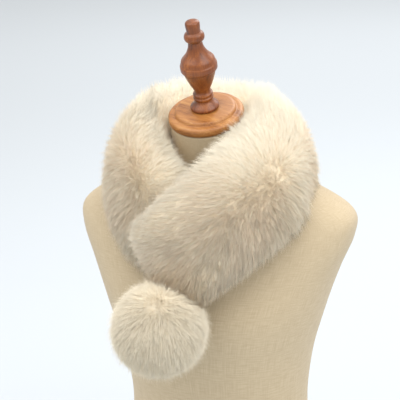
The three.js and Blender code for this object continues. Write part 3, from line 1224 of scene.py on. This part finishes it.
@dataclass
class Stretch:
    """One stretch of the band between two lengths, with its underfur and its hair."""

    name: str
    node: str
    low: float
    high: float
    seed: int
    hair_pieces: int = 1
    coat: Coat = field(default_factory=Coat)
    shell_depth: float = 9 * MM
    hidden_share: float = 0.35
    hidden_edge: float = -0.25
    rings_apart: float = 5 * MM
    around: int = 64

    def shell_rings(self, band: Band, taken: list[Test]) -> Array:
        """Rings of the underfur body: the band's surface at the shell's depth.

        Args:
            band: The band.
            taken: Tests that say which points are inside what the stretch rests on.

        Returns:
            Points by ring and by place round it, drawn in to the ring's middle where they are
            inside something else.
        """
        count = round((self.high - self.low) / self.rings_apart)
        length = np.linspace(self.low, self.high, count)[:, None]
        turn = np.linspace(0, 2 * np.pi, self.around, endpoint=False)[None]
        length, turn = np.broadcast_arrays(length, turn)
        rings = band.surface(length, turn, self.shell_depth)
        for test in taken:
            rings = drawn_in(rings, rings.mean(axis=1, keepdims=True), test)
        return rings

    def lift(self, turn: Array, outward: Array) -> Array:
        """How far the hair's shading leans up: most at the upper edge, and where it faces back.

        Args:
            turn: Angles round the section.
            outward: The surface's normals there.

        Returns:
            Lengths to add to a unit normal, straight up.
        """
        coat = self.coat
        back = np.clip(outward[:, 1], 0, 1)
        edge = np.clip(-np.cos(turn), 0, 1) ** 3 + coat.rise_behind * share_between(turn, *coat.behind) * back
        return coat.rise * edge + coat.crown * share_between(turn, *coat.crown_turn) * back

    def growth(self, band: Band, rng: np.random.Generator, owner: NDArray[np.int_], length: Array,
               turn: Array, short: Mask) -> tuple[Array, Array, Array]:
        """How far hairs stand out past the rest: single guard hairs, and whole clumps as tufts.

        Both are longest at the band's edges and free ends. Tufts are lower beside the neck, and
        there are none on the inner side.

        Args:
            band: The band.
            rng: Source of which hairs and clumps grow, and how far.
            owner: Each hair's clump.
            length: Lengths from the hidden end.
            turn: Angles round the section.
            short: Which hairs are short ones.

        Returns:
            Nearness to an edge from 0 to 1, the whole growth, and a tuft's growth before that.
        """
        coat = self.coat
        rim = np.maximum(np.abs(np.cos(turn)), 1 - np.minimum(length, band.length - length) / band.end_round)
        rim = np.clip(2 * rim - 1, 0, 1)
        count, clumps = len(owner), owner[-1] + 1
        guard = np.where(~short & (rng.random(count) < coat.guard_share * (1 + rim)), 1 + rim, 0.0)
        guard *= coat.guard * rng.uniform(*coat.guard_length, count)
        tuft = coat.tuft * np.where(rng.random(clumps) < coat.tuft_share, rng.random(clumps), 0.0)[owner]
        tuft *= np.where(short | (np.sin(turn) < coat.inner_edge), 0.0, rng.uniform(*coat.tuft_length, count))
        grown = coat.tuft_at_neck + (1 - coat.tuft_at_neck) * share_between(length, *coat.tufts_grow)
        edge = np.where(np.cos(turn) < 0, grown, coat.tuft_below) * np.cos(turn) ** 2
        end = np.clip(1 - (band.length - length) / band.end_round, 0, 1)
        guard += tuft * np.minimum(edge + end, 1)
        return rim, guard, tuft

    def hairs(self, band: Band, form: DressForm) -> Hairs:
        """Hair in clumps that are spread evenly over the envelope.

        A clump's seat is one cell of a jittered grid in length and in share of the way round.
        Each wisp starts in the underfur beneath its seat on the envelope and leans over with the
        flow. It ends within the envelope, its tip gathered with its clump's.

        Args:
            band: The band.
            form: What the collar rests on.

        Returns:
            The hairs.
        """
        rng = np.random.default_rng(self.seed)
        coat = self.coat
        girth = band.girth
        rows = max(1, round((self.high - self.low) / coat.clump_spacing))
        columns = round(girth / coat.clump_spacing)
        row, column = (g.ravel() for g in np.meshgrid(np.arange(rows), np.arange(columns), indexing="ij"))
        jitter = rng.uniform(-coat.clump_jitter, coat.clump_jitter, (2, row.size))
        clump_length = self.low + (self.high - self.low) * (row + 0.5 + jitter[0]) / rows
        clump_share = (column + 0.5 * (row % 2) + jitter[1]) / columns
        owner = np.repeat(np.arange(row.size), coat.hairs_a_clump)
        count = len(owner)
        spread = rng.uniform(-coat.spread, coat.spread, (2, count)) * coat.clump_spacing
        length = np.clip(clump_length[owner] + spread[0], coat.clear, band.length - coat.clear)
        share = clump_share[owner] + spread[1] / girth

        def lie(at_length: Array, at_share: Array, lay: Array, wild: Array) -> tuple[Array, Array, Array]:
            """Seat, tip and outward direction of wisps at the places."""
            turn = np.interp(at_share % 1.0, *band.turn_of_share)
            seat = band.surface(at_length, turn, 0.0)
            outward = unit(seat - band.surface(at_length, turn, coat.root_depth[1]))
            flow = band.flow(at_length, turn, outward) * lay[:, None] + wild
            return seat, seat + flow, outward

        clump_turn = np.interp(clump_share % 1.0, *band.turn_of_share)
        below = np.clip(np.cos(clump_turn), 0, 1)
        clump_lay = (coat.lay + coat.lay_below * below) * rng.uniform(*coat.clump_lay, row.size)
        clump_wild = coat.unruly * rng.normal(size=(row.size, 3))
        clump_tip = lie(clump_length, clump_share, clump_lay, clump_wild)[1]
        short = rng.random(count) < coat.short_share
        lay = clump_lay[owner] * rng.uniform(*coat.hair_lay, count) * np.where(short, coat.short_lay, 1.0)
        wild = clump_wild[owner] + coat.unruly_hair * coat.unruly * rng.normal(size=(count, 3))
        seat, tip, outward = lie(length, share, lay, wild)
        gather = rng.uniform(*coat.gather, row.size)[owner, None]
        tip = np.where(short[:, None], tip, tip + gather * (clump_tip[owner] - tip))
        turn = np.interp(share % 1.0, *band.turn_of_share)
        rim, guard, tuft = self.growth(band, rng, owner, length, turn, short)
        swell = np.interp(length, band.lie[:, 0], band.lie[:, 3]) * np.clip(np.sin(turn), 0, 1)
        raised = band.lock_lift(length, turn) - coat.sunk * rng.random(count) ** 2 + guard + swell
        raised += coat.uneven * (1 + rim) * rng.normal(size=row.size)[owner] - coat.short_sunk * short
        reach = np.interp(np.abs(np.cos(turn)), [0, 1], [band.mean_thick, band.edge_reach])
        grown_tip = tip + (coat.guard_outward * guard + swell)[:, None] * outward
        tip = band.limit(grown_tip, length, 1.0 + raised / reach)
        tint = band.paleness(length, turn) + coat.tint_noise[0] * rng.normal(size=row.size)[owner]
        # Painted light: the tint grows paler the more the hair faces up.
        tint += rng.normal(0, coat.tint_noise[1], count) + coat.lit_paleness * outward[:, 2]
        root = seat - outward * rng.uniform(*coat.root_depth, count)[:, None]
        rested = form.push_out(tip, coat.clear)
        width = rng.uniform(*coat.width, count) * np.where(guard > tuft, coat.guard_width, 1.0)
        # Painted shade: each clump's tip stops short of the pale tip colour at random, the more on the lower
        # side that faces down.
        lock_shade = (coat.lock_shade[0] + coat.lock_shade[1] * below) * rng.random(row.size)
        top = 1 - MAP_MARGIN - lock_shade[owner] * rng.uniform(0.5, 1, count)
        tilt = (coat.tilt[0] + coat.tilt[1] * below)[:, None] * rng.normal(size=(row.size, 3))
        facing = unit(outward + tilt[owner] - self.lift(turn, outward)[:, None] * DOWN)
        # Painted light: roots of hair that faces up or back start higher on the colour map, so they are
        # paler.
        back = np.clip(outward[:, 1], 0, 1)
        foot = MAP_MARGIN + coat.lit_root_lift * np.clip(outward[:, 2] + coat.rise_behind * back, 0, 1)
        hairs = Hairs(root, rested, outward, width, tint, foot, top, facing)
        shown = (np.sin(turn) >= self.hidden_edge) | (rng.random(count) < self.hidden_share)
        clear = form.height_over(root)[0] > coat.root_clear
        near = np.linalg.norm(rested - tip, axis=-1) < coat.pushed
        return hairs.kept(shown & clear & near)

    def build(self, band: Band, form: DressForm, taken: list[Test],
              hidden: Callable[[Hairs], Mask] | None, hair: bpy.types.Material,
              fluff: bpy.types.Material) -> None:
        """The stretch's underfur and hair, dressed.

        Args:
            band: The band.
            form: What the collar rests on.
            taken: Tests that say which points are inside what the stretch rests on.
            hidden: Says which hairs are out of sight or in the way, if any are.
            hair: The hair's finish.
            fluff: The underfur's finish.
        """
        shell = loft_object(self.name + "_underfur", self.shell_rings(band, taken))
        finish_piece(shell, fluff, (self.node,))
        hairs = self.hairs(band, form)
        if hidden is not None:
            hairs = hairs.kept(~hidden(hairs))
        pick = np.random.default_rng(self.seed + 3).permutation(len(hairs.root)) % self.hair_pieces
        for number in range(self.hair_pieces):
            piece = hairs.kept(pick == number).mesh(f"{self.name}_hair_{number + 1}")
            finish_piece(piece, hair)


@dataclass
class Collar:
    """The wrap: three stretches of one band, and the pompom at its end."""

    band: Band = field(default_factory=Band)
    pompom: Pompom = field(default_factory=Pompom)
    tip: float = 0.6 * MM
    form_gap: float = 0.6 * MM
    ball_gap: float = 1 * MM
    under_core: float = 0.76
    under_covered: float = 50 * MM
    over_core: float = 0.68
    over_covers: float = 120 * MM

    def build(self, form: DressForm) -> None:
        """All of the wrap's pieces, dressed."""
        band, pompom = self.band, self.pompom
        gap = band.seam_gap / 2
        under_end, over_start = band.seams
        # The darker root colours are partly the fur's own and partly painted shade deep in the coat.
        hair = HairFinish("collar_hair", (0.82, 0.66, 0.44), (0.91, 0.80, 0.60), (0.97, 0.91, 0.77),
                          (0.90, 0.72, 0.53)).material()
        fluff = UnderfurFinish("collar_underfur", (0.84, 0.70, 0.50), (0.92, 0.80, 0.61)).material()
        tip = self.tip

        def in_the_form(points: Array) -> Mask:
            """Points inside the form or just over it."""
            return form.height_over(points)[0] < self.form_gap

        def in_the_under(points: Array) -> Mask:
            """Points inside the under stretch's underfur."""
            flat = points.reshape(-1, 3)
            level = band.level(flat, 0.0, under_end - self.under_covered)
            return (level < self.under_core).reshape(points.shape[:-1])

        def in_the_pompom(points: Array) -> Mask:
            """Points inside the pompom's underfur."""
            return np.linalg.norm(points - pompom.centre, axis=-1) < pompom.core + self.ball_gap

        def under_hidden(hairs: Hairs) -> Mask:
            """Hairs of the under stretch deep inside the over one."""
            return band.level(hairs.tip, over_start + self.over_covers, band.length) < self.over_core

        def over_hidden(hairs: Hairs) -> Mask:
            """Hairs of the over stretch that start inside the under one or the pompom."""
            return in_the_under(hairs.root) | in_the_pompom(hairs.root)

        under = Stretch("under", "collar_under", tip, under_end - gap, 11)
        under.build(band, form, [in_the_form], under_hidden, hair, fluff)
        back = Stretch("back", "collar_back", under_end + gap, over_start - gap, 23,
                       coat=Coat(clump_spacing=3.3 * MM))
        back.build(band, form, [in_the_form], None, hair, fluff)
        over = Stretch("over", "collar_over", over_start + gap, band.length - tip, 37, 2,
                       coat=Coat(clump_spacing=2.85 * MM))
        over.build(band, form, [in_the_form, in_the_under, in_the_pompom], over_hidden, hair, fluff)
        # The darker root colours are partly the fur's own and partly painted shade deep in the coat.
        ball_hair = HairFinish("pompom_hair", (0.80, 0.66, 0.45), (0.89, 0.79, 0.60), (0.94, 0.87, 0.72),
                               (0.89, 0.74, 0.54)).material()
        ball_fluff = UnderfurFinish("pompom_underfur", (0.82, 0.70, 0.52), (0.90, 0.80, 0.63)).material()
        pompom.build(form, ball_hair, ball_fluff)


# The studio


@dataclass(frozen=True)
class Camera:
    """A camera placed by what it aims at, and by where that falls in the picture."""

    aim: tuple[float, float, float] = (0.0, -33.9 * MM, 658.1 * MM)
    azimuth: float = 19.0
    elevation: float = 12.0
    roll: float = 1.5
    distance: float = 1.3
    focal_pixels: float = 1007.0
    aim_pixel: Range = (206.0, 113.0)
    sensor: float = 36.0
    rounds: int = 60
    pace: float = 0.9

    def build(self) -> None:
        """Adds the camera and makes it the scene's.

        The view starts straight at the aim. It is then turned until the aim falls on its pixel,
        a fixed-point search that settles within a few dozen rounds.
        """
        azimuth, elevation, roll = (math.radians(v) for v in (self.azimuth, self.elevation, self.roll))
        aim = Vector(self.aim)
        back = Vector((math.sin(azimuth) * math.cos(elevation), -math.cos(azimuth) * math.cos(elevation),
                       math.sin(elevation)))
        place = aim + back * self.distance
        middle = IMAGE_SIDE / 2
        wanted = (np.array(self.aim_pixel) - middle) * (1, -1) / self.focal_pixels
        ahead = -back
        right = up = ahead
        for _ in range(self.rounds):
            level = ahead.cross(Vector((0, 0, 1))).normalized()
            upright = level.cross(ahead)
            right = level * math.cos(roll) - upright * math.sin(roll)
            up = level * math.sin(roll) + upright * math.cos(roll)
            seen = aim - place
            off_right = seen.dot(right) / seen.dot(ahead) - float(wanted[0])
            off_up = seen.dot(up) / seen.dot(ahead) - float(wanted[1])
            ahead = (ahead + self.pace * (off_right * right + off_up * up)).normalized()
        data = bpy.data.cameras.new("camera")
        data.sensor_width = self.sensor
        data.lens = self.focal_pixels * self.sensor / IMAGE_SIDE
        data.clip_end = 100.0
        made = bpy.data.objects.new("camera", data)
        turn = Matrix((right, up, -ahead)).transposed()
        made.matrix_world = Matrix.Translation(place) @ turn.to_4x4()
        bpy.context.scene.collection.objects.link(made)
        bpy.context.scene.camera = made


@dataclass(frozen=True)
class SoftBox:
    """A square area light that faces a point."""

    name: str
    place: tuple[float, float, float]
    side: float
    power: float
    colour: Colour = (1.0, 1.0, 1.0)
    target: tuple[float, float, float] = (0.0, -0.05, 0.55)

    def build(self) -> None:
        """Adds the light."""
        data = bpy.data.lights.new(self.name, "AREA")
        data.shape = "SQUARE"
        data.size = self.side
        data.energy = self.power
        data.color = self.colour
        made = bpy.data.objects.new(self.name, data)
        made.location = self.place
        made.rotation_euler = (Vector(self.target) - Vector(self.place)).to_track_quat("-Z", "Y").to_euler()
        bpy.context.scene.collection.objects.link(made)


@dataclass(frozen=True)
class Studio:
    """The floor, the lights, the sky and the camera."""

    floor_reach: float = 14.0
    floor_colour: Colour = (0.56, 0.60, 0.64)
    sky: Colour = (1.0, 0.985, 0.955)
    sky_strength: float = 0.95
    camera: Camera = field(default_factory=Camera)
    lights: tuple[SoftBox, ...] = (
        SoftBox("key", (-0.9, -1.2, 2.9), 3.0, 49.0),
        SoftBox("fill", (1.7, -0.8, 2.3), 2.0, 34.0),
        SoftBox("rim", (0.4, 1.7, 2.6), 1.8, 34.0),
        SoftBox("backdrop", (0.0, 4.0, 5.0), 4.0, 190.0, target=(0.0, 12.0, 0.0)),
    )

    def build(self) -> None:
        """Adds everything round the object."""
        self.camera.build()
        for light in self.lights:
            light.build()
        world = bpy.data.worlds.new("studio")
        world.use_nodes = True
        sky = world.node_tree.nodes["Background"]
        sky.inputs["Color"].default_value = (*self.sky, 1.0)
        sky.inputs["Strength"].default_value = self.sky_strength
        bpy.context.scene.world = world
        bpy.context.scene.view_settings.view_transform = "Standard"
        corners = self.floor_reach * np.array([[-1, -1, 0], [1, -1, 0], [1, 1, 0], [-1, 1, 0]])
        floor = mesh_object("floor", corners, np.array([[0, 1, 2, 3]]), np.empty((0, 3), dtype=int))
        floor.data.materials.append(MattFinish("pale_floor", self.floor_colour).material())


def main() -> None:
    """Builds the studio, the form and the collar."""
    logging.basicConfig(level=logging.INFO, format="%(name)s %(message)s")
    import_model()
    Studio().build()
    form = DressForm()
    form.build()
    Collar().build(form)


if __name__ == "__main__":
    main()
